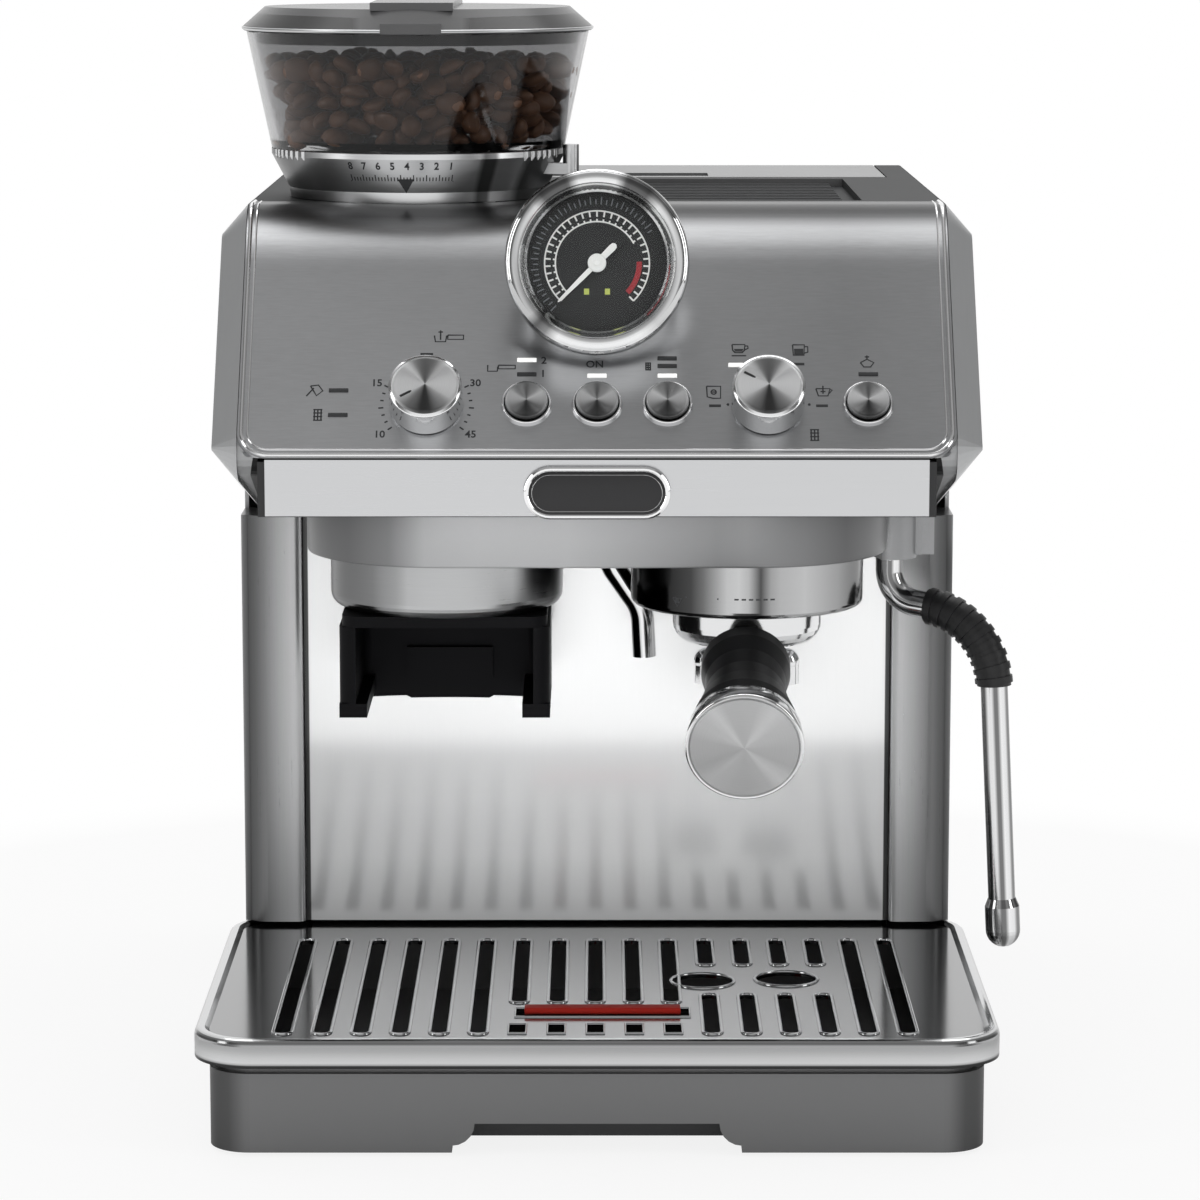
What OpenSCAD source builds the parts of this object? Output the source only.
// Countertop espresso machine with a built-in grinder.
// X runs across the machine, +Y towards the rear, +Z up. Inside the modules the front face of
// the splash plate is the plane y = 0, and placed() moves the machine over its footprint centre.

/* [Tower] */
// Width across the side panels
body_w = 274; // [264:1:290]
// Depth of the tower behind the splash plate
tower_d = 180; // [176:0.5:200]
// Height of the flat top of the head
body_top = 327; // [322:1:345]
// Thickness of the sheet steel covers
sheet = 1.5; // [1:0.1:2]
// Width of the column on each side of the splash plate
column_w = 23.5; // [20:0.5:26]
// Distance the columns stand in front of the splash plate
column_front = 3; // [1:0.5:8]
// Depth of a column, front to back
column_d = 23.3; // [20:0.1:28]
// Radius of a column's outer front corner
column_r = 9; // [3:0.5:12]
// Height of the rubber feet
foot_h = 4; // [3:0.5:8]
// Radius of the rubber feet
foot_r = 11; // [8:0.5:13]

/* [Head] */
// Distance from the splash plate to the lower edge of the control panel
head_reach = 139; // [130:1:150]
// Tilt of the control panel from the vertical, in degrees
panel_tilt = 38; // [32:1:44]
// Height of the control panel's lower edge
panel_bottom = 242.5; // [236:0.5:248]
// Bend radius between the control panel and the top
bend_r = 16; // [13:0.5:22]
// Width of the bevel along each side frame of the head
bevel_w = 10; // [6:0.5:13]
// Height of the head's underside at the columns
underside_z = 203.5; // [200:0.5:210]
// Height of the lower edge of the polished strip under the panel
fascia_bottom = 221.5; // [218:0.5:226]
// Half the width of the polished strip
fascia_half = 117; // [100:1:118]
// Radius of the ends of the hanging skirt
skirt_r = 51; // [47:0.5:54]
// Height of the skirt's lower edge
skirt_bottom = 197; // [194:0.5:199]

/* [Drip tray] */
// Width over the rolled rim of the tray plate
tray_w = 285; // [280:1:300]
// Distance from the splash plate to the front of the rim
tray_reach = 182.5; // [176:0.5:195]
// Height of the flat of the tray plate
plate_top = 42; // [40:0.5:42.2]
// Plan radius of the plate's corners
tray_r = 22; // [14:1:30]
// Slot width in the tray plate
slot_w = 6; // [4:0.5:8]
// Distance from one slot to the next
slot_pitch = 13.8; // [12:0.1:14]
// Wall thickness of the tray
tray_wall = 2.5; // [2:0.1:3.5]

/* [Brewing] */
// Sideways distance of the group and of the grinder outlet from the middle
group_x = 55; // [54:0.5:57]
// Distance of both axes in front of the splash plate
group_y = 80; // [76:0.5:84]
// Outer radius of the group ring and of the grinder collar
group_r = 42.5; // [41.5:0.1:44]
// Height of the lower edge of the group ring
group_bottom = 182; // [179:0.5:185]
// Radius of the portafilter's rim
rim_r = 30.2; // [29.6:0.1:30.6]
// Outer radius of the portafilter's bowl
bowl_r = 27.4; // [26.6:0.1:28.2]
// Turn between the insertion mark and the locked handle, in degrees
lock_turn = 38; // [30:1:38]
// Length of the portafilter's grip
grip_len = 59; // [54:1:61]
// Angle at which the grip droops, in degrees
grip_droop = 18; // [12:1:22]

/* [Steam and water] */
// Sideways position of the steam wand's swivel
wand_x = 108.5; // [106:0.5:110]
// Distance of the swivel in front of the splash plate
wand_y = 60; // [50:1:66]
// Radius of the wand's steel tube
wand_r = 5; // [4:0.1:5.2]
// Length of the straight lower tube
wand_len = 92; // [80:1:96]
// Turn of the wand outwards from straight sideways, in degrees
wand_turn = 25; // [15:1:35]
// Radius of the hot water spout's tube
spout_r = 4.4; // [3.5:0.1:5]

/* [Gauge] */
// Radius of the gauge's outer ring
gauge_r = 32.5; // [31:0.5:34]
// Radius of the gauge's window
window_r = 24.75; // [23:0.25:25.5]
// Height of the gauge's centre
gauge_z = 311; // [308:0.5:314]
// Distance of the gauge's face in front of the splash plate
gauge_y = 125; // [122:0.5:130]
// Upward tilt of the gauge, in degrees
gauge_tilt = 10; // [6:0.5:14]

/* [Controls] */
// Radius of the two dials
knob_r = 13; // [11:0.5:14]
// Length of the two dials
knob_len = 14; // [10:0.5:16]
// Sideways distance of the dials from the middle
knob_x = 60.5; // [56:0.5:62]
// Distance of the control row up the slope from the panel's lower edge
row_up = 22.2; // [20:0.2:24]
// Radius of the push buttons' caps
cap_r = 7.6; // [6.5:0.1:8]
// Pitch of the three buttons in the middle
button_pitch = 25; // [22:0.5:26]
// Sideways position of the steam button
steam_x = 96; // [90:0.5:100]
// Travel of the push buttons
button_travel = 1.2; // [0.8:0.1:1.6]

/* [Grinder] */
// Sideways distance of the hopper's axis left of the middle
hopper_x = 67; // [66:0.5:69]
// Distance of the hopper's axis in front of the splash plate
hopper_y = 18; // [15:0.5:20]
// Radius of the hopper at its foot
hopper_low_r = 55; // [52:0.5:56]
// Radius of the hopper at its mouth
hopper_high_r = 64; // [60:0.5:68]
// Height of the grind ring
ring_h = 18; // [14:0.5:20]
// Height of the hopper's bowl above the grind ring
bowl_h = 43; // [36:1:52]
// Height of the hopper lid with its grip strip
lid_h = 12; // [9:0.5:14]
// Wall thickness of the hopper's bowl
bowl_t = 2.4; // [1.8:0.1:3]

/* [Water tank] */
// Width of the water tank
tank_w = 232; // [210:1:236]
// Height of the shelf under the water tank
shelf_z = 60; // [56:1:70]
// Wall thickness of the water tank
tank_t = 2.2; // [1.8:0.1:3]

/* [Fits] */
// Clearance between covers that lie side by side
gap = 0.3; // [0.2:0.05:0.4]
// Radial clearance of a shaft in its bush
run_gap = 0.05; // [0.02:0.01:0.1]

/* [Hidden] */
$fn = 96;

half = body_w / 2;
tray_half = tray_w / 2;
column_in = half - column_w;

// Wand: two bends in one upright plane, seen as reach r from the swivel and height z.
wand_top_z = underside_z - 2.5;
wand_bend_r = 12;
wand_level = 84;
grip_bend_r = 29.7;
wand_end = 3;
bend1_z = 191;
bend1_reach = wand_bend_r * (1 - cos(wand_level));
bend1_drop = wand_bend_r * sin(wand_level);
link_len = 4.7;
grip_reach = grip_bend_r * (cos(wand_end) - cos(wand_level));
grip_drop = grip_bend_r * (sin(wand_level) - sin(wand_end));
grip_start_r = bend1_reach + link_len * sin(wand_level);
grip_start_z = bend1_z - bend1_drop - link_len * cos(wand_level);
tip_start_r = grip_start_r + grip_reach;
tip_start_z = grip_start_z - grip_drop;
nozzle_r = 6.4;
nozzle_len = 18;
wand_reach = wand_x + (tip_start_r + wand_len * sin(wand_end)) * cos(wand_turn)
    + nozzle_r * cos(wand_end);

gland_out = 2.5;
machine_x = (tray_half - wand_reach) / 2;
machine_y = (tray_reach - tower_d - gland_out) / 2;

// Base and tray heights
pan_wall = 2.5;
pan_floor = 3;
tongue_t = 5;
tray_floor_z = foot_h + tongue_t + 3;
tray_skirt_z = foot_h - 2.5;
plate_t = 1.6;
rim_w = 5.3;
rim_rise = 1.2;
rim_drop = 9;
tray_rear = 12;
pan_front = tray_rear + 1.5;
tower_bottom = plate_top + rim_rise + 0.4;
tray_front = tray_reach - 4.5;
tray_body_half = half;
tray_r_body = 15;
step_z = plate_top - rim_drop - 3;
float_x = 2;
float_y = 139;
float_len = 56;

// Head
cheek_w = 17;
slab_in = half - cheek_w;
panel_half = half - bevel_w;
bevel_in = 11;
nose_r = 12;
under_rise = 13.1;
head_rear = column_d - column_front;
panel_k = tan(panel_tilt);
chassis_t = 3;
chassis_slope = atan((fascia_bottom - underside_z) / (head_reach - 1));

// Group and grinder outlet
neck_r = group_r - 1.5;
cavity_r = rim_r + 5.8;
lip_r = rim_r + 0.8;
lip_h = 4.4;
lug_h = 4.5;
lug_w = 50;
cavity_top = group_bottom + 22;
group_top = group_bottom + 54;
rim_top = cavity_top - 4.4;
outlet_r = 12;
fork_half = 38;
fork_bottom = 145;

// Grinder
throat_r = 25;
mill_z = 262;
mill_top = body_top - 9;
mill_r = 34;
motor_y = 53;
motor_r = 27;
ring_low_r = hopper_low_r - 7;
ring_spigot_r = 45;
ring_bore = 42;
ring_top = body_top + gap + ring_h;
bowl_foot = ring_top + gap;
bowl_rim = bowl_foot + bowl_h;

// Cup warmer recess and tank bay in the top cover
cover_t = 3;
// The cover starts where the panel's bend has run out into the flat top.
cover_front = panel_line(body_top - bend_r, bend_r) + 13.2;
warmer_x0 = -12;
warmer_x1 = 98;
warmer_y0 = cover_front + 6;
warmer_y1 = 84;
bay_y = 96;
tank_y0 = bay_y + 2;
tank_y1 = tower_d - 2;
divider_y = bay_y - 3;

// Tilt of the group's plane of symmetry: the grip points slightly to the left.
handle_turn = 2.3;

// ---------------------------------------------------------------- helpers

module placed() translate([machine_x, machine_y, 0]) children();

// Draws a (y, z) profile across the machine, centred on the middle plane.
module across(w) rotate([90, 0, 90]) linear_extrude(w, center = true) children();

module on_side(side) mirror([side < 0 ? 1 : 0, 0, 0]) children();

module round_rect(x0, x1, y0, y1, r) {
    translate([x0 + r, y0]) square([x1 - x0 - 2 * r, y1 - y0]);
    translate([x0, y0 + r]) square([x1 - x0, y1 - y0 - 2 * r]);
    for (x = [x0 + r, x1 - r], y = [y0 + r, y1 - r]) translate([x, y]) circle(r);
}

module block(x0, x1, y0, y1, z0, z1) translate([x0, y0, z0]) cube([x1 - x0, y1 - y0, z1 - z0]);

module tube(r_out, r_in, z0, z1) translate([0, 0, z0]) difference() {
    cylinder(h = z1 - z0, r = r_out);
    translate([0, 0, -1]) cylinder(h = z1 - z0 + 2, r = r_in);
}

module disc(r, z0, z1) translate([0, 0, z0]) cylinder(h = z1 - z0, r = r);

// A ring sector between two radii.
module sector(r_in, r_out, z0, z1, from, turn) rotate([0, 0, from])
    rotate_extrude(angle = turn) translate([r_in, z0]) square([r_out - r_in, z1 - z0]);

// A stadium across X: two circles of radius r on the group's and the collar's axes.
module stadium(r) {
    for (s = [-1, 1]) translate([s * group_x, -group_y]) circle(r);
    translate([-group_x, -group_y - r]) square([2 * group_x, 2 * r]);
}

// A point on the control panel: x sideways, up the slope from the lower edge, +Z outwards.
module on_panel(x, up) translate([x, -head_reach, panel_bottom])
    rotate([90 - panel_tilt, 0, 0]) translate([0, up, 0]) children();

module on_gauge() translate([0, -gauge_y, gauge_z]) rotate([90 - gauge_tilt, 0, 0]) children();

module at_group() translate([group_x, -group_y, 0]) children();

module at_collar() translate([-group_x, -group_y, 0]) children();

module at_hopper() translate([-hopper_x, -hopper_y, 0]) children();

// The wand's plane, with +X along its reach.
module at_wand() translate([wand_x, -wand_y, 0]) rotate([0, 0, -wand_turn]) children();

function panel_line(z, i) = -head_reach + (z - panel_bottom) * panel_k + i / cos(panel_tilt);

function under_line(i) = underside_z + i / cos(under_rise);

function nose_centre(i) = let (
        k2 = tan(under_rise),
        p0 = -head_reach - panel_bottom * panel_k + i / cos(panel_tilt),
        y = (p0 + panel_k * under_line(i)) / (1 + panel_k * k2)
    ) [y, under_line(i) - k2 * y];

function arc(centre, r, from, to, steps) =
    [for (s = [0:steps]) let (a = from + (to - from) * s / steps) centre + r * [cos(a), sin(a)]];

// The bend between panel and top, as an arc at depth i under the outer surface.
function bend(i) = arc([panel_line(body_top - bend_r, bend_r), body_top - bend_r],
    bend_r - i, 180 - panel_tilt, 90, 8);

// Side outline of the head at depth i, from the rear underside round the nose to the top.
function head_outline(i, rear) = concat(
    [[rear, underside_z + i], [(under_line(i) - underside_z - i) / tan(under_rise),
        underside_z + i]],
    arc(nose_centre(nose_r), nose_r - i, 270 - under_rise, 180 - panel_tilt, 8),
    bend(i), [[rear, body_top - i]]);

module head_solid(i) across(body_w + 20) polygon(head_outline(i, tower_d));

// ---------------------------------------------------------------- tower

module base_pan() color("#3c3d3f") placed() {
    block(-tray_body_half + 14, tray_body_half - 14, -tray_front + 13, pan_front + pan_wall,
        foot_h, foot_h + tongue_t);
    difference() {
        block(-half + sheet + gap, half - sheet - gap, pan_front, tower_d - sheet - 2 * gap,
            foot_h, tower_bottom);
        block(-half + sheet + gap + pan_wall, half - sheet - gap - pan_wall,
            pan_front + pan_wall, tower_d + 1, foot_h + pan_floor, tower_bottom + 1);
    }
    // Posts under the pump's rubber mounts
    for (s = [-1, 1]) translate([pump_x + s * mount_x, pump_y, 0])
        disc(6, foot_h + pan_floor, pump_z - 16);
}

module feet() color("#1b1b1c") placed()
    for (x = [-1, 1], y = [-tray_front + 30, tower_d - 24])
        translate([x * (half - 32), y, 0]) disc(foot_r, 0, foot_h);

module side_panel(side) placed() on_side(side) difference() {
    union() {
        // Sheet with the bevel along its upper edge
        translate([0, tower_d, 0]) rotate([90, 0, 0]) linear_extrude(tower_d - head_rear - gap)
            polygon([[half, foot_h + 1], [half, body_top - bevel_in],
                [panel_half + gap, body_top], [panel_half + gap, body_top - sheet - 0.4],
                [half - sheet, body_top - bevel_in - 0.6], [half - sheet, foot_h + 1]]);
        block(half - sheet, half, pan_front, head_rear + gap + 1, foot_h + 1, tower_bottom + 2);
        // Column
        translate([0, 0, tower_bottom]) linear_extrude(underside_z - gap - tower_bottom) {
            translate([column_in, -column_front + 3]) square([column_w, column_d - 3]);
            translate([column_in + 3, -column_front]) square([column_w - 3 - column_r, 6]);
            translate([column_in + 3, -column_front + 3]) circle(3);
            translate([half - column_r, -column_front + column_r]) circle(column_r);
        }
    }
}

module side_panel_left() color("#8e9092") side_panel(-1);

module side_panel_right() color("#8e9092") side_panel(1);

module back_panel() color("#2d2e30") placed() difference() {
    union() {
        across(body_w - 2 * sheet - 2 * gap) {
            translate([tower_d - sheet - gap, foot_h + 2]) square([sheet + gap, shelf_z - foot_h - 2]);
            translate([divider_y, shelf_z - 3]) square([tower_d - divider_y, 3]);
            translate([divider_y, shelf_z - 3])
                square([2.5, body_top - cover_t - gap - shelf_z + 3]);
        }
        // Seat round the tank's valve
        translate([0, (tank_y0 + tank_y1) / 2, 0]) disc(15, shelf_z - 1, shelf_z + 5);
    }
    translate([0, (tank_y0 + tank_y1) / 2, 0]) disc(8.4, shelf_z - 6, shelf_z + 8);
    // Upper corners clear of the side panels' bevels
    for (s = [-1, 1]) on_side(s) block(panel_half, half, divider_y - 1, divider_y + 5,
        body_top - bevel_in - 3, body_top);
    // Openings for the switch and for the cord's strain relief
    block(switch_x - 10.5, switch_x + 10.5, tower_d - 8, tower_d + 1, switch_z - 7.5,
        switch_z + 7.5);
    translate([inlet_x, tower_d + 1, inlet_z]) rotate([90, 0, 0]) cylinder(h = 8, r = 6);
    // Cooling slots
    for (i = [0:9]) block(-40 + 9 * i, -36 + 9 * i, tower_d - 8, tower_d + 1, foot_h + 16,
        foot_h + 42);
    for (p = back_screws()) translate([p[0], tower_d + 1, p[1]]) rotate([90, 0, 0])
        cylinder(h = 8, r = 1.8);
}

switch_x = half - 45;
switch_z = 34;
inlet_x = -switch_x;
inlet_z = 30;

function back_screws() = [for (x = [-1, 1], z = [foot_h + 10, shelf_z - 10])
    [x * (half - 12), z]];

module splash_plate() color("#d9dadb") placed() across(2 * (column_in - gap)) {
    translate([0, tower_bottom]) square([sheet, underside_z - gap - tower_bottom]);
    translate([0, tower_bottom]) square([10, sheet]);
    translate([0, underside_z - gap - sheet]) square([head_rear - 2, sheet]);
}

// ---------------------------------------------------------------- head

module cheek(side) placed() on_side(side) {
    // Bevelled outer frame
    hull() {
        translate([panel_half + gap, 0, 0]) thin_slice(0);
        translate([half - 0.05, 0, 0]) thin_slice(bevel_in);
    }
    // Slab under the edges of the panel and of the top cover
    difference() {
        translate([slab_in + (panel_half + gap + 1 - slab_in) / 2, 0, 0])
            across(panel_half + gap + 1 - slab_in)
                polygon(head_outline(sheet + gap, head_rear));
        block(0, panel_half + gap, cover_front - 2 * gap, head_rear + 1,
            body_top - cover_t - gap, body_top);
    }
}

module thin_slice(i) rotate([90, 0, 90]) linear_extrude(0.05)
    polygon(head_outline(i, head_rear));

module cheek_left() color("#b9bbbd") cheek(-1);

module cheek_right() color("#b9bbbd") cheek(1);

// Height of the chassis's lower face at y
function chassis_z(y) = underside_z + (y < 0 ? -y * tan(chassis_slope) : 0);

module head_chassis() color("#242527") placed() difference() {
    across(2 * (slab_in - gap)) polygon([
        [1 - head_reach, fascia_bottom], [0, underside_z], [head_rear, underside_z],
        [head_rear, underside_z + chassis_t], [0, underside_z + chassis_t],
        [1 - head_reach + 3, fascia_bottom + chassis_t],
        [1 - head_reach + 3, panel_bottom - 1.5], [1 - head_reach, panel_bottom - 1.5]]);
    at_group() disc(neck_r + gap, underside_z - 5, 240);
    at_collar() disc(outlet_r + 2 + gap, underside_z - 5, 240);
    translate([spout_x, -group_y - 4, 0]) disc(spout_r + 1, underside_z - 5, 240);
    translate([wand_x, -wand_y, 0]) disc(wand_r + 1, underside_z - 5, 240);
}

// Bent sheet: control panel, bend and front part of the top.
module front_panel() color("#a9abad") placed() difference() {
    across(2 * panel_half) polygon(concat(
        [[panel_line(panel_bottom, 0), panel_bottom]], bend(0),
        [[cover_front - gap, body_top], [cover_front - gap, body_top - sheet]],
        [for (i = [8:-1:0]) bend(sheet)[i]],
        [[panel_line(panel_bottom + sheet, sheet), panel_bottom + sheet],
         [-head_reach + 6, panel_bottom + sheet], [-head_reach + 6, panel_bottom]]));
    // Rounded lower corners
    for (s = [-1, 1]) on_panel(s * (panel_half - corner_r), corner_r) difference() {
        translate([s > 0 ? 0 : -corner_r - 1, -corner_r - 1, -12])
            cube([corner_r + 1, corner_r + 1, 14]);
        translate([0, 0, -13]) cylinder(h = 16, r = corner_r + tangent);
    }
    for (s = [-1, 1]) on_panel(s * knob_x, row_up) disc(shaft_r + 0.6, -6, 3);
    for (x = button_places()) on_panel(x, row_up) disc(cap_r + 0.7, -6, 3);
    for (b = light_places()) on_panel(b[0], row_up + b[1])
        translate([-light_w / 2, -light_h / 2, -6]) cube([light_w, light_h, 8]);
    on_gauge() disc(gauge_stub_r, -90, 0);
    // Clearance round the hopper's grind ring
    at_hopper() disc(ring_low_r + 1, body_top - 6, body_top + 3);
}

corner_r = 11;
// How far a rounding circle reaches past the sides that it meets
tangent = 0.05;
shaft_r = 3;
light_w = 7;
light_h = 1.7;
gauge_stub_r = 18;

function button_places() = [-button_pitch, 0, button_pitch, steam_x];

// Sideways position and height over the control row of each light
function light_places() = concat(
    [for (up = [12.6, 18.6]) [-button_pitch, up]],
    [[0, 12]],
    [for (up = [12, 16.1, 19.3]) [button_pitch, up]],
    [[2 * button_pitch + 0.2, 16.5], [steam_x + 0.5, 12.7]],
    [for (up = [5.9, -4.3]) [4.3 - steam_x, up]]);

module fascia_strip() color("#e3e4e5") placed() across(2 * fascia_half)
    translate([1 - head_reach - 1.6, fascia_bottom + 0.5])
        square([1.6, panel_bottom - fascia_bottom - 1]);

module badge_plate() color("#19191b") placed()
    translate([0, -head_reach - 0.6, (fascia_bottom + panel_bottom) / 2 - 1.5])
        rotate([90, 0, 0]) {
            linear_extrude(2) badge_outline(9.5);
            linear_extrude(3) difference() {
                badge_outline(9.5);
                badge_outline(8);
            }
        }

module badge_outline(r) {
    for (s = [-1, 1]) translate([s * 16.5, 0]) circle(r);
    translate([-16.5, -r]) square([33, 2 * r]);
}

module lower_skirt() color("#77797b") placed() difference() {
    translate([0, 0, skirt_bottom]) linear_extrude(30) stadium(skirt_r);
    translate([0, 0, skirt_bottom + 2.5]) linear_extrude(40) stadium(skirt_r - 3);
    // Cut off along the sloping underside of the head
    across(body_w) polygon([[1 - head_reach, chassis_z(1 - head_reach)], [0, underside_z],
        [20, underside_z], [20, 260], [1 - head_reach, 260]]);
    at_group() disc(neck_r, skirt_bottom - 1, skirt_bottom + 5);
    at_collar() disc(outlet_r + 2, skirt_bottom - 1, skirt_bottom + 5);
    translate([spout_x, -group_y - 4, 0]) disc(spout_r, skirt_bottom - 1, skirt_bottom + 5);
}

module top_cover() color("#a4a6a8") placed() difference() {
    block(-panel_half, panel_half, cover_front, tower_d - sheet, body_top - cover_t, body_top);
    at_hopper() disc(ring_spigot_r + run_gap, body_top - 10, body_top + 1);
    block(warmer_x0, warmer_x1, warmer_y0, warmer_y1, body_top - 10, body_top + 1);
    block(-tank_w / 2 - 0.6, tank_w / 2 + 0.6, bay_y, tower_d + 1, body_top - 10,
        body_top + 1);
}

module cup_warmer_plate() color("#8b8d90") placed() {
    z = body_top - cover_t - sheet;
    block(warmer_x0 - 4, warmer_x1 + 4, warmer_y0 - 4, warmer_y1 + 4, z, z + sheet);
    // Raised ribs across the plate
    for (i = [0:12]) {
        y = warmer_y0 + 8 + i * (warmer_y1 - warmer_y0 - 16) / 12;
        block(warmer_x0 + 6, warmer_x1 - 6, y - 2, y + 2, z, z + sheet + 1.6);
    }
}

// ---------------------------------------------------------------- gauge

module gauge_housing() color("#c9cacc") placed() {
    difference() {
        on_gauge() union() {
            rotate_extrude() polygon(concat([[0, -gauge_z_back], [gauge_r - 3.5, -gauge_z_back],
                [gauge_r - 3.5, -14], [gauge_r, -13]],
                arc([gauge_r - 2, -2], 2, 0, 90, 4), [[window_r + 3, 0], [window_r, -4],
                [window_r, -5], [window_r + 1.4, -5], [window_r + 1.4, -11], [0, -11]]));
        }
        head_solid(0);
        on_gauge() disc(1 + run_gap, -13, -10);
    }
    // Spigot through the panel
    intersection() {
        on_gauge() disc(gauge_stub_r, -gauge_z_back - 6, -16);
        head_solid(0);
    }
}

gauge_z_back = 50;

module gauge_dial() color("#151517") placed() on_gauge()
    tube(window_r + 1.2, 1 + run_gap, -11, -10);

module gauge_glass() color("#dfe6e8", 0.4) placed() on_gauge() disc(window_r + 1.2, -6.2, -5);

module gauge_needle() color("#f4f4f2") placed() on_gauge() {
    disc(1, -12.6, -8.8);
    disc(3, -9.6, -8.2);
    rotate([0, 0, needle_rest]) {
        translate([-0.7, 0, -9.3]) cube([1.4, 19, 0.7]);
        translate([-1.3, -7, -9.3]) cube([2.6, 7, 0.7]);
    }
}

// The needle rests at half past seven on the dial.
needle_rest = 135;

// ---------------------------------------------------------------- controls

module knob(pointer) {
    difference() {
        union() {
            rotate_extrude() polygon(concat([[0, 0.6], [knob_r, 0.6], [knob_r, 3]],
                arc([knob_r - 1.8, knob_len - 1], 1, 0, 90, 4), [[0, knob_len]]));
            disc(shaft_r, -13.4, 1);
        }
        rotate([0, 0, pointer]) translate([-0.6, 3, knob_len - 0.5]) cube([1.2, knob_r, 2]);
    }
}

module dose_knob() color("#c4c5c7") placed() on_panel(-knob_x, row_up) knob(120);

module mode_knob() color("#c4c5c7") placed() on_panel(knob_x, row_up) knob(60);

module button_bezels() color("#e0e1e2") placed() for (x = button_places())
    on_panel(x, row_up) rotate_extrude() polygon([[cap_r + 0.3, -3], [cap_r + 0.7, -3],
        [cap_r + 0.7, 0], [cap_r + 1.1, 0], [cap_r + 0.9, 1.6], [cap_r + 0.3, 1.9]]);

module button(x) placed() on_panel(x, row_up) {
    rotate_extrude() polygon(concat([[0, -4.5], [cap_r, -4.5]],
        arc([cap_r - 1, 3.2], 1, 0, 90, 4), [[0, 4.2]]));
    disc(2.5, -14 + 2 + button_travel + gap, -4);
}

module cup_button() color("#c9cacc") button(-button_pitch);

module power_button() color("#c9cacc") button(0);

module rinse_button() color("#c9cacc") button(button_pitch);

module steam_button() color("#c9cacc") button(steam_x);

module indicator_lights() color("#f5f5ee") placed() for (b = light_places())
    on_panel(b[0], row_up + b[1]) translate([-light_w / 2, -light_h / 2, -3])
        cube([light_w, light_h, 3.3]);

module control_board() color("#1f5a38") placed() {
    difference() {
        union() {
            on_panel(0, row_up) translate([-board_half, -knob_r, -15.6])
                cube([2 * board_half, 2 * knob_r, 1.6]);
            for (s = [-1, 1]) on_panel(s * knob_x, row_up) disc(5, -15, -6);
        }
        for (s = [-1, 1]) on_panel(s * knob_x, row_up) disc(shaft_r + run_gap, -16.5, -5);
    }
    for (x = button_places()) on_panel(x, row_up) disc(3.5, -14.5, -12);
    for (s = [-1, 1]) {
        on_panel(s * (board_half - 4), row_up - 9) disc(2.5, -14.5, -sheet);
        on_panel(s * (knob_x - 18.5), row_up + 9) disc(2.5, -14.5, -sheet);
    }
}

// Half the width of the board behind the control row
board_half = steam_x + 12;

// ---------------------------------------------------------------- group and grinder outlet

module group_housing() color("#d4d5d7") placed() at_group() difference() {
    rotate_extrude() polygon(concat([[lip_r, group_bottom]],
        arc([group_r - 2.5, group_bottom + 2.5], 2.5, 270, 360, 5),
        [[group_r, skirt_bottom], [neck_r, skirt_bottom], [neck_r, group_top],
         [0, group_top], [0, cavity_top], [cavity_r, cavity_top],
         [cavity_r, group_bottom + lip_h], [lip_r, group_bottom + lip_h]]));
    // Notches that let the portafilter's lugs in
    for (a = [0, 180]) rotate([0, 0, -lock_turn - handle_turn])
        sector(lip_r - 1, cavity_r + 0.4, group_bottom - 1, group_bottom + lip_h + 0.6,
            a - lug_w / 2 - 1.5, lug_w + 3);
}

module group_gasket() color("#8a3b2c") placed() at_group()
    tube(cavity_r - 0.5, rim_r - 3, rim_top + 1.5, cavity_top);

module shower_screen() color("#cfd0d2") placed() at_group() {
    disc(26, rim_top + 1.2, rim_top + 2.4);
    disc(21, rim_top + 2.4, cavity_top);
    disc(3.5, rim_top + 0.2, rim_top + 2);
}

module grinder_collar() color("#a7a9ab") placed() at_collar() rotate_extrude()
    polygon(concat([[outlet_r + 2, group_bottom]],
        arc([group_r - 5, group_bottom + 5], 5, 270, 360, 6),
        [[group_r, skirt_bottom], [outlet_r + 2, skirt_bottom]]));

// Rest for the portafilter under the grinder: a back wall and two arms with inward feet.
module portafilter_fork() color("#121213") placed() at_collar() difference() {
    union() {
        translate([0, 0, group_bottom - 4]) linear_extrude(4)
            round_rect(-fork_half + 1, fork_half - 1, -group_r + 8, group_r - 8, 6);
        translate([0, 0, fork_bottom]) linear_extrude(group_bottom - 4 - fork_bottom)
            difference() {
                round_rect(-fork_half, fork_half, -group_r + 9, group_r - 8, 5);
                round_rect(-fork_half + 6, fork_half - 6, -group_r - 20, group_r - 14, 5);
            }
        // Feet of the arms
        for (s = [-1, 1]) translate([s * (fork_half - 5) - 5, -group_r + 9, fork_bottom])
            cube([10, 2 * group_r - 22, 5]);
        block(-16, 16, group_r - 18, group_r - 9, fork_bottom + 4, fork_bottom + 16);
    }
    disc(outlet_r + 2, group_bottom - 10, group_bottom + 1);
    // Arched lower edge of the back wall
    translate([0, group_r + 20, fork_bottom - 44]) rotate([90, 0, 0])
        cylinder(h = 60 - 18 + 6, r = 50);
}

// ---------------------------------------------------------------- water and steam

spout_x = 2;
// Height at which the spout starts to bend
spout_z = skirt_bottom - 4;

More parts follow.
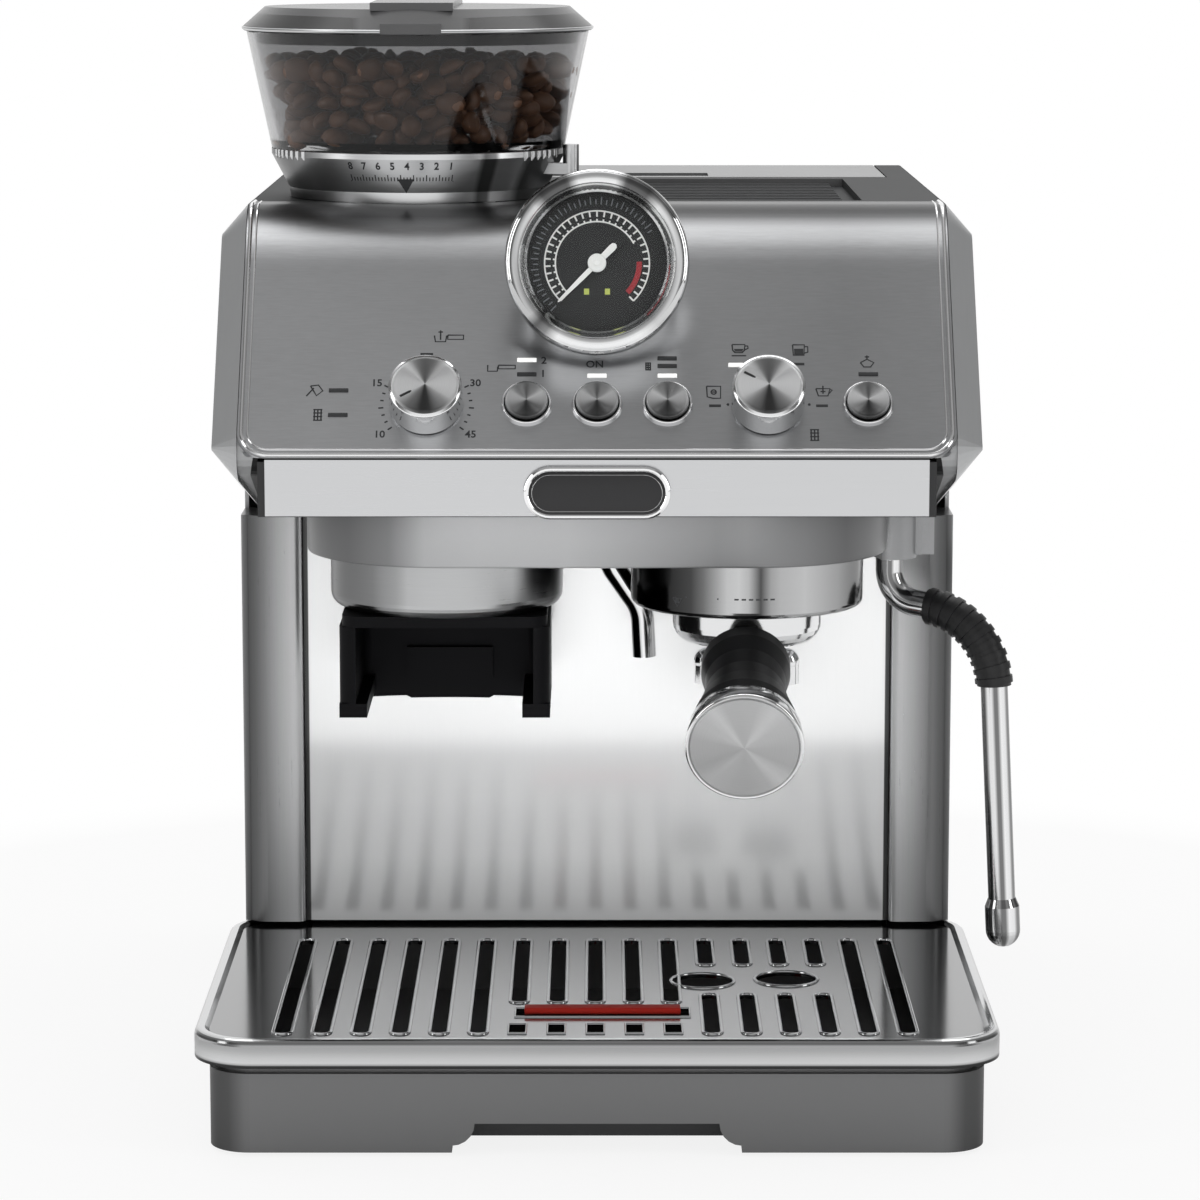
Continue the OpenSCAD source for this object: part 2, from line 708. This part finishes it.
// A bent rod from a list of [bend radius, bend angle, straight length], starting downwards.
// The bends are a hair slimmer, so that each straight's end face closes its joint cleanly.
module bent_rod(r, runs, k = 0) {
    if (k < len(runs)) {
        bend_radius = runs[k][0];
        turn = runs[k][1];
        straight = runs[k][2];
        translate([sign(turn) * bend_radius, 0, 0]) rotate([90, 0, 0])
            rotate([0, 0, turn > 0 ? 180 : -abs(turn)])
                rotate_extrude(angle = abs(turn)) translate([bend_radius, 0])
                    circle(r - 0.04);
        translate([sign(turn) * bend_radius * (1 - cos(turn)), 0,
                -bend_radius * sin(abs(turn))]) rotate([0, -turn, 0]) {
            translate([0, 0, -straight - 0.4]) cylinder(h = straight + 0.8, r = r);
            translate([0, 0, -straight]) bent_rod(r, runs, k + 1);
        }
    }
}

module hot_water_spout() color("#d2d3d5") placed() translate([spout_x, -group_y - 4, 0])
    difference() {
        union() {
            disc(spout_r, spout_z - 0.4, spout_z + 19);
            translate([0, 0, spout_z]) bent_rod(spout_r, [[12, 36, 14], [16, -28, 6]]);
        }
        // Mouth of the spout
        translate([0, 0, spout_z]) rotate([0, -8, 0]) translate([19.5, 0, -48])
            cylinder(h = 14, r = spout_r - 1);
    }

module wand_socket() color("#7c7e80") placed() difference() {
    union() {
        translate([wand_x, -wand_y, 0]) disc(10, wand_top_z - 5, 240);
        block(wand_x - 2, wand_x + 16.5, -wand_y - 2, -wand_y + 30, wand_top_z - 4, 240);
        translate([wand_x + 7, -wand_y + 6, 0]) disc(9.5, wand_top_z - 4, 240);
    }
    across(body_w) polygon([[1 - head_reach, chassis_z(1 - head_reach)], [0, underside_z],
        [20, underside_z], [20, 260], [1 - head_reach, 260]]);
    // The boss nestles against the skirt
    translate([0, 0, skirt_bottom - 1]) linear_extrude(40) stadium(skirt_r + gap);
    // Bush for the swivel
    translate([wand_x, -wand_y, 0]) disc(wand_r + run_gap, wand_top_z - 8, 240);
}

module wand_tube() color("#d2d3d5") placed() at_wand() {
    disc(wand_r, bend1_z - 0.4, wand_top_z + 4);
    disc(wand_r + 0.7, wand_top_z + 12, wand_top_z + 14);
    disc(wand_r - 0.6, wand_top_z + 3, wand_top_z + 13);
    translate([0, 0, bend1_z]) bent_rod(wand_r,
        [[wand_bend_r, wand_level, link_len], [grip_bend_r, wand_end - wand_level, wand_len]]);
    // Nozzle with a rounded end
    translate([tip_start_r, 0, tip_start_z]) rotate([0, -wand_end, 0])
        translate([0, 0, -wand_len]) rotate_extrude() polygon(concat([[0, nozzle_len - 6]],
            [[wand_r + 0.2, nozzle_len - 6], [nozzle_r, nozzle_len - 9], [nozzle_r, 0]],
            arc([0, 0], nozzle_r, 0, -80, 7), [[0, -nozzle_r + 0.1]]));
}

module wand_grip() color("#141415") placed() at_wand()
    translate([grip_start_r, 0, grip_start_z]) rotate([0, -wand_level, 0])
        translate([-grip_bend_r, 0, 0]) rotate([90, 0, 0]) {
            sweep = wand_level - wand_end;
            rotate([0, 0, -sweep]) rotate_extrude(angle = sweep) translate([grip_bend_r, 0])
                difference() {
                    circle(6.3, $fn = 32);
                    circle(wand_r + 0.05, $fn = 32);
                }
            // Ribs
            for (i = [0:9]) rotate([0, 0, -sweep + (i + 0.25) * sweep / 10])
                rotate_extrude(angle = sweep / 20) translate([grip_bend_r, 0])
                    difference() {
                        circle(7, $fn = 32);
                        circle(6, $fn = 32);
                    }
        }

// ---------------------------------------------------------------- inside the tower

pump_x = group_x + 15;
pump_y = 54;
pump_z = 44;
// Distance of the pump's rubber mounts from its middle
mount_x = 28;

module thermoblock() color("#b5b7b9") placed() {
    half_w = group_r - 0.5;
    block(group_x - half_w, group_x + half_w, -group_y - 6, -group_y + 70, group_top,
        group_top + 30);
    for (x = [-30:12:30]) block(group_x + x - 2, group_x + x + 2, -group_y, -group_y + 64,
        group_top + 30, group_top + 36);
}

module pump() color("#c2c0b4") placed() translate([pump_x, pump_y, pump_z]) {
    rotate([0, 90, 0]) translate([0, 0, -36]) cylinder(h = 52, r = 14);
    rotate([0, 90, 0]) translate([0, 0, -48]) cylinder(h = 90, r = 7);
    block(-28, 8, -19, 19, -13, 21);
    for (s = [-1, 1]) translate([s * mount_x, 0, 0]) disc(6, -16, -6.9);
}

module solenoid_valve() color("#4c4f52") placed() translate([group_x - 30, 30, 0]) {
    block(-14, 14, -14, 14, underside_z + chassis_t + 6, underside_z + chassis_t + 34);
    disc(6, underside_z + chassis_t + 33, underside_z + chassis_t + 46);
    block(-10, 10, -28, -10, underside_z + chassis_t, underside_z + chassis_t + 12);
}

module grinder_motor() color("#55585b") placed() difference() {
    union() {
        at_hopper() disc(mill_r, mill_z - 22, mill_top);
        block(-hopper_x - 30, -hopper_x + 30, -hopper_y, motor_y, mill_z - 22, mill_z);
        translate([-hopper_x, motor_y, 0]) disc(motor_r + 3, mill_z - 26, mill_z);
        translate([-hopper_x, motor_y, 0]) disc(motor_r, mill_z - 110, mill_z - 20);
        // Coffee chute forward and down to the outlet
        block(-hopper_x - 9, -group_x + outlet_r, -group_y, -hopper_y - 20, mill_z - 4,
            mill_z + 18);
        at_collar() disc(outlet_r + 2, group_bottom - 4, mill_z + 18);
        // Legs down to the chassis
        for (s = [-1, 1]) translate([-hopper_x + s * 24, 9, 0])
            disc(4, underside_z + chassis_t, mill_z - 21);
    }
    at_hopper() disc(mill_r - 5, mill_z + 13, mill_top + 1);
    at_hopper() disc(mill_shaft_r + run_gap, mill_z - 16, mill_top + 1);
    at_collar() disc(outlet_r, group_bottom - 5, mill_z + 12);
    block(-hopper_x - 5, -group_x + outlet_r - 4, -group_y + 2, -hopper_y - 26, mill_z + 2,
        mill_z + 12);
}

mill_shaft_r = 4;

module upper_burr() color("#9fa3a6") placed() at_hopper() rotate_extrude()
    polygon([[21, mill_z + 24], [mill_r - 5.3, mill_z + 24], [mill_r - 5.3, mill_top - 10],
        [throat_r + 0.4, mill_top - 10], [throat_r - 6, mill_z + 34]]);

module lower_burr() color("#8f9396") placed() at_hopper() {
    disc(mill_shaft_r, mill_z - 15, mill_z + 20);
    rotate_extrude() polygon([[0, mill_z + 14], [mill_r - 6, mill_z + 14],
        [mill_r - 6, mill_z + 18], [19, mill_z + 23], [8, mill_z + 38], [0, mill_z + 38]]);
}

// ---------------------------------------------------------------- hopper

module grind_ring() color("#c6c8ca") placed() at_hopper() {
    difference() {
        rotate_extrude() polygon([[ring_bore, body_top - 6], [ring_spigot_r, body_top - 6],
            [ring_spigot_r, body_top + gap], [ring_low_r, body_top + gap],
            [ring_low_r + 0.6, body_top + 4], [hopper_low_r, ring_top - 2],
            [hopper_low_r, ring_top], [ring_bore, ring_top]]);
        // Fluted grips at three places round the ring
        for (a = [0, 120, 240], k = [-3:3]) rotate([0, 0, a + 4 * k - 30])
            translate([hopper_low_r + 0.6, 0, body_top + 3]) cylinder(h = 40, r = 1.3);
    }
    // Lever with an upright pin
    rotate([0, 0, lever_turn]) {
        block(hopper_low_r - 6, hopper_low_r + 6, -3, 3, ring_top - 9, ring_top - 5);
        translate([hopper_low_r + 6, 0, 0]) disc(3, ring_top - 12, ring_top + 2);
    }
}

lever_turn = -20;

module hopper_bowl() color("#4a4644", 0.5) placed() at_hopper() rotate_extrude()
    polygon([[throat_r - 1.9, mill_top - 8], [throat_r - 0.3, mill_top - 8],
        [throat_r - 0.3, ring_top - 8], [ring_bore - 0.4, ring_top - 4],
        [ring_bore - 0.4, bowl_foot], [hopper_low_r, bowl_foot],
        [hopper_high_r, bowl_rim], [hopper_high_r - bowl_t, bowl_rim],
        [hopper_low_r - bowl_t, bowl_foot + bowl_t + 1],
        [ring_bore - 3, bowl_foot + 1], [throat_r - 1.9, ring_top - 6]]);

module coffee_beans() color("#3a2417") placed() at_hopper() rotate_extrude()
    polygon([[0, bowl_foot + 1 + gap], [ring_bore - 3, bowl_foot + 1 + gap],
        [hopper_low_r - bowl_t - gap, bowl_foot + bowl_t + 1 + gap],
        [bowl_inner(bowl_rim - 10) - gap, bowl_rim - 10], [0, bowl_rim - 8]]);

// Inner radius of the bowl's flared wall at height z
function bowl_inner(z) = let (foot = bowl_foot + bowl_t + 1) hopper_low_r - bowl_t
    + (hopper_high_r - hopper_low_r) * (z - foot) / (bowl_rim - foot);

module hopper_lid() color("#101012") placed() at_hopper() {
    rotate_extrude() polygon([[0, bowl_rim + gap], [hopper_high_r + 1, bowl_rim + gap],
        [hopper_high_r + 1, bowl_rim + 2], [hopper_high_r - 7, bowl_rim + lid_h - 3],
        [0, bowl_rim + lid_h - 3]]);
    tube(hopper_high_r - bowl_t - 1.5, hopper_high_r - bowl_t - 3.5, bowl_rim - 4,
        bowl_rim + 1);
    // Grip strip from front to back
    block(-15, 15, -hopper_high_r + 7, hopper_high_r - 7, bowl_rim + lid_h - 3.5,
        bowl_rim + lid_h - 0.6);
    block(-11, 11, -hopper_high_r - 2.5, -hopper_high_r + 4, bowl_rim + gap, bowl_rim + 4);
}

// ---------------------------------------------------------------- portafilter

module at_portafilter() at_group() rotate([0, 0, -handle_turn]) children();

grip_start = 35;
grip_z = group_bottom - 16.5;
bowl_bottom = group_bottom - 14;

// Along the grip's axis, with +Z towards the user.
module on_grip() at_portafilter() translate([0, -grip_start, grip_z])
    rotate([90 + grip_droop, 0, 0]) children();

module portafilter_body() color("#d0d1d3") placed() {
    difference() {
        union() {
            at_portafilter() rotate_extrude() polygon(concat([[0, bowl_bottom]],
                arc([bowl_r - 7, bowl_bottom + 7], 7, 270, 360, 6),
                [[bowl_r, group_bottom + 1], [rim_r, group_bottom + 3], [rim_r, rim_top],
                 [0, rim_top]]));
            on_grip() disc(7, -9, 5);
        }
        at_portafilter() disc(bowl_r - 1.6, bowl_bottom + 3, rim_top + 1);
        at_portafilter() disc(5, bowl_bottom - 1, bowl_bottom + 4);
    }
    // Bayonet lugs over the group's lip
    for (a = [0, 180]) at_portafilter() sector(rim_r - 1, cavity_r - 0.8,
        group_bottom + lip_h + gap, group_bottom + lip_h + gap + lug_h, a - lug_w / 2, lug_w);
}

module filter_basket() color("#c3c4c6") placed() at_portafilter() difference() {
    union() {
        disc(bowl_r - 1.6, bowl_bottom + 5, rim_top);
        disc(rim_r - 1.5, rim_top, rim_top + 0.9);
    }
    disc(bowl_r - 2.4, bowl_bottom + 5.8, rim_top + 2);
}

module portafilter_spouts() color("#cfd0d2") placed() at_portafilter() {
    tube(7, 5, bowl_bottom - 8, bowl_bottom);
    rotate([0, 90, 0]) translate([-bowl_bottom + 8, 0, -14.5]) cylinder(h = 29, r = 4);
    for (s = [-1, 1]) translate([s * 14.5, 0, 0]) {
        tube(4.8, 3.4, bowl_bottom - 16, bowl_bottom - 8);
        translate([0, 0, bowl_bottom - 8]) sphere(5);
    }
}

module portafilter_grip() color("#151516") placed() on_grip() difference() {
    rotate_extrude() polygon([[0, 0], [13, 0], [16, 3], [16, 9], [14.6, 17], [14.4, 26],
        [16, 36], [18.5, grip_len - 12], [18.8, grip_len - 6], [0, grip_len - 6]]);
    disc(7, -1, 5);
}

module grip_cap() color("#d8d9da") placed() on_grip() rotate_extrude()
    polygon(concat([[0, grip_len - 6], [18.8, grip_len - 6], [20.5, grip_len - 4],
        [20.8, grip_len + 2]], arc([18.8, grip_len + 3], 2, 0, 90, 4), [[0, grip_len + 5]]));

// ---------------------------------------------------------------- drip tray

module tray_outline(inset, r) round_rect(-tray_body_half + inset, tray_body_half - inset,
    -tray_front + inset, tray_rear - 1 - inset, r - inset);

module drip_tray() color("#6f7173") placed() {
    difference() {
        union() {
            translate([0, 0, tray_skirt_z]) linear_extrude(step_z - tray_skirt_z)
                tray_outline(0, tray_r_body);
            translate([0, 0, step_z - 1]) linear_extrude(plate_top - plate_t - step_z + 1)
                tray_outline(2.5, tray_r_body);
        }
        // Well
        translate([0, 0, tray_floor_z + tray_wall]) linear_extrude(50)
            tray_outline(2.5 + tray_wall, tray_r_body);
        // Space for the base's tongue, open to the rear
        translate([0, 0, -1]) linear_extrude(tray_floor_z + 1)
            tray_outline(tray_wall + 5, tray_r_body);
        block(-tray_body_half + tray_wall + 5, tray_body_half - tray_wall - 5, -40,
            tray_rear + 1, -1, tray_floor_z);
        // Finger recess in the front
        translate([0, -tray_front + 12, 0]) rotate([90, 0, 0]) linear_extrude(20)
            polygon(concat([[-51, -1], [-51, 4]], arc([-51, 12], 8, 270, 360, 5),
                arc([51, 12], 8, 180, 270, 5), [[51, 4], [51, -1]]));
    }
    // Runners on the tongue
    for (s = [-1, 1]) block(s * 60 - 4, s * 60 + 4, -tray_front + 20, tray_rear - 6,
        foot_h + tongue_t + gap, tray_floor_z + 1);
}

module rim_profile() {
    h = plate_top + rim_rise;
    polygon(concat([[0, plate_top - rim_drop]], arc([2.5, h - 2.5], 2.5, 180, 90, 5),
        [[rim_w - 1.6, h], [rim_w, plate_top], [rim_w, plate_top - plate_t],
         [1.4, plate_top - plate_t], [1.4, plate_top - rim_drop]]));
}

module rim_run(length) rotate([90, 0, 0]) linear_extrude(length) rim_profile();

module tray_rim(y0, y1) {
    r = tray_r;
    for (s = [-1, 1]) on_side(s) {
        translate([tray_half, y1 - r, 0]) mirror([1, 0, 0]) rim_run(y1 - y0 - 2 * r);
        translate([tray_half - r, y0 + r, 0]) rotate([0, 0, -90]) rim_corner();
        translate([tray_half - r, y1 - r, 0]) rim_corner();
    }
    for (y = [y0, y1]) translate([0, y, 0]) mirror([0, y == y1 ? 1 : 0, 0])
        rotate([90, 0, 90]) linear_extrude(tray_w - 2 * r, center = true) rim_profile();
}

module rim_corner() rotate_extrude(angle = 90) translate([tray_r, 0]) mirror([1, 0])
    rim_profile();

// A slot along Y with round ends, from y0 to y1.
module slot(x, y0, y1) {
    translate([x - slot_w / 2, y0 + slot_w / 2]) square([slot_w, y1 - y0 - slot_w]);
    for (y = [y0 + slot_w / 2, y1 - slot_w / 2]) translate([x, y]) circle(slot_w / 2);
}

slot_count = 17;
slot_rear = -27;
slot_front = -tray_reach + 13;

module plate_slots() for (i = [0:slot_count - 1]) {
    x = (i - (slot_count - 1) / 2) * slot_pitch - 0.6;
    if (i < 6 || i > 14) slot(x, slot_front, slot_rear);
    else if (i < 11) {
        slot(x, -float_y + 14, slot_rear);
        translate([x - 3, slot_front + 1]) square([6, 7]);
    } else {
        slot(x, slot_front, -112);
        slot(x, -68, slot_rear);
    }
}

module tray_plate() color("#cbccce") placed() {
    difference() {
        translate([0, 0, plate_top - plate_t]) linear_extrude(plate_t)
            round_rect(-tray_half + rim_w - 0.5, tray_half - rim_w + 0.5,
                -tray_reach + rim_w - 0.5, tray_rear - rim_w + 0.5, tray_r - rim_w + 0.5);
        translate([0, 0, plate_top - 5]) linear_extrude(10) {
            plate_slots();
            for (p = [[39, -92], [70, -89]]) translate(p) circle(11.5);
            translate([float_x - float_len / 2 - 3, -float_y - 2.6])
                square([float_len + 6, 5.2]);
        }
    }
    tray_rim(-tray_reach, tray_rear);
}

module level_float() color("#c2271d") placed() translate([float_x, -float_y, 0]) {
    block(-float_len / 2, float_len / 2, -1.8, 1.8, plate_top - 6, plate_top - 0.4);
    for (x = [-14, 14]) translate([x, 0, 0]) disc(1.7, tray_floor_z + tray_wall + 8,
        plate_top - 5);
    block(-22, 22, -10, 10, tray_floor_z + tray_wall + gap, tray_floor_z + tray_wall + 9);
}

// ---------------------------------------------------------------- water tank

module water_tank() color("#5b6166", 0.6) placed() {
    top = body_top - cover_t - 2;
    difference() {
        union() {
            translate([0, 0, shelf_z + 5 + gap]) linear_extrude(top - shelf_z - 5 - gap)
                round_rect(-tank_w / 2, tank_w / 2, tank_y0, tank_y1, 10);
            // Outlet that plugs into the seat
            translate([0, (tank_y0 + tank_y1) / 2, 0]) disc(8, shelf_z - 1, shelf_z + 8);
        }
        translate([0, 0, shelf_z + 5 + gap + tank_t]) linear_extrude(400)
            round_rect(-tank_w / 2 + tank_t, tank_w / 2 - tank_t, tank_y0 + tank_t,
                tank_y1 - tank_t, 10 - tank_t);
    }
}

module tank_lid() color("#8d9093") placed() {
    difference() {
        block(-tank_w / 2, tank_w / 2, tank_y0 - 1.5, tank_y1 + 0.5,
            body_top - cover_t - 2 + gap, body_top);
        block(-45, 45, tank_y0 + 6, tank_y0 + 26, body_top - 3.4, body_top + 1);
    }
    // Hinge barrel along the rear edge
    translate([0, tank_y1 + 0.5, body_top - lid_barrel_r]) rotate([0, 90, 0])
        cylinder(h = tank_w - 20, r = lid_barrel_r, center = true);
}

lid_barrel_r = 2;

// ---------------------------------------------------------------- power

module power_switch() color("#17171a") placed()
    translate([switch_x, tower_d - 1.5, switch_z]) rotate([0, 90, 0]) {
        translate([0, 0, -10.2]) cylinder(h = 20.4, r = 3.5);
        block(-6.6, 6.6, -1.5, 1.5, -9.8, 9.8);
    }

module power_inlet() color("#1a1a1b") placed() translate([inlet_x, tower_d, inlet_z])
    rotate([90, 0, 0]) difference() {
        union() {
            disc(6, -1, 8);
            disc(9, -gland_out, 0);
            disc(8, 4, 9);
        }
        disc(3.5, -4, 11);
    }

module screws() color("#b0b2b4") placed() for (p = back_screws())
    translate([p[0], tower_d, p[1]]) rotate([90, 0, 0]) {
        disc(1.6, 0, 5);
        disc(3.4, -1.8, 0);
    }

base_pan();
feet();
side_panel_left();
side_panel_right();
back_panel();
splash_plate();
cheek_left();
cheek_right();
head_chassis();
front_panel();
fascia_strip();
badge_plate();
lower_skirt();
top_cover();
cup_warmer_plate();
gauge_housing();
gauge_dial();
gauge_glass();
gauge_needle();
button_bezels();
indicator_lights();
dose_knob();
mode_knob();
cup_button();
power_button();
rinse_button();
steam_button();
control_board();
group_housing();
group_gasket();
shower_screen();
grinder_collar();
portafilter_fork();
hot_water_spout();
wand_socket();
wand_tube();
wand_grip();
thermoblock();
pump();
solenoid_valve();
grinder_motor();
upper_burr();
lower_burr();
grind_ring();
hopper_bowl();
hopper_lid();
coffee_beans();
portafilter_body();
filter_basket();
portafilter_spouts();
portafilter_grip();
grip_cap();
drip_tray();
tray_plate();
level_float();
water_tank();
tank_lid();
power_switch();
power_inlet();
screws();
